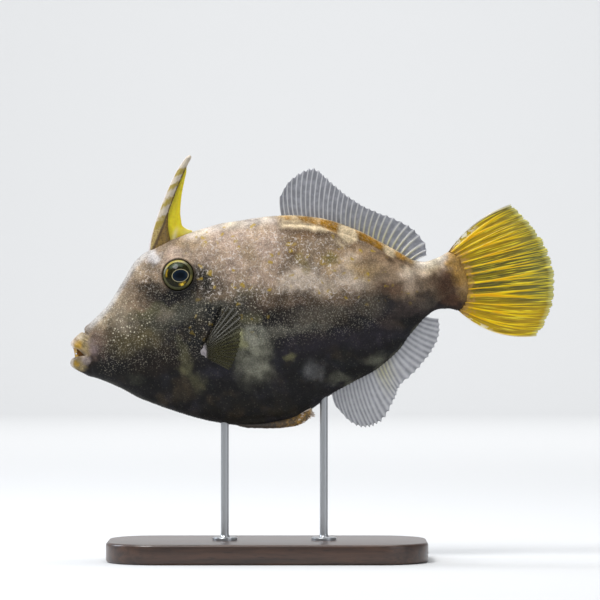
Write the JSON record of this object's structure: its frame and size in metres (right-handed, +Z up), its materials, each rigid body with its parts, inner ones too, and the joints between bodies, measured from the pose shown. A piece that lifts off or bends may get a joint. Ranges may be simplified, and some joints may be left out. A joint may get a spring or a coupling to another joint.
{
  "type": "planehead filefish",
  "caption": "Deep-bodied filefish as in life, nose slightly down, first dorsal spine raised and tail fanned, held over a flat base by slim rods.",
  "frame": {"origin": "centre of the model's box, at the bottom of the display base", "axes": "+X towards the tail, +Z up, and the fish's left side faces -Y"},
  "size_m": [0.194, 0.062, 0.162],
  "materials": {
    "skin": "velvety skin of tiny spiny scales, mottled tan, brown and olive-black with fine pale speckles",
    "eye": "wet, clear cornea over an olive iris and a blue-black pupil",
    "tooth": "brown-gold enamel",
    "spine": "cream and ochre bands, brown rear line",
    "yellow_fin": "bright yellow membrane with golden rays, thin and damp",
    "clear_fin": "clear grey-lilac membrane with whitish rays",
    "pelvis": "rough brown skin with tan barbs",
    "steel": "satin stainless rod",
    "base": "dark stained wood under satin lacquer"
  },
  "bodies": {
    "root": {"head": "skin", "trunk": "skin", "tail_stalk": "skin", "eye_left": "eye", "eye_right": "eye", "teeth_upper": "tooth", "teeth_lower": "tooth", "dorsal_spine": "spine", "spine_membrane": "yellow_fin", "dorsal_fin": "clear_fin", "anal_fin": "clear_fin", "tail_fin": "yellow_fin", "pectoral_fin_left": "clear_fin", "pectoral_fin_right": "clear_fin", "pelvic_flap": "pelvis", "stand_base": "base", "stand_rod_front": "steel", "stand_rod_rear": "steel"}
  },
  "joints": []
}
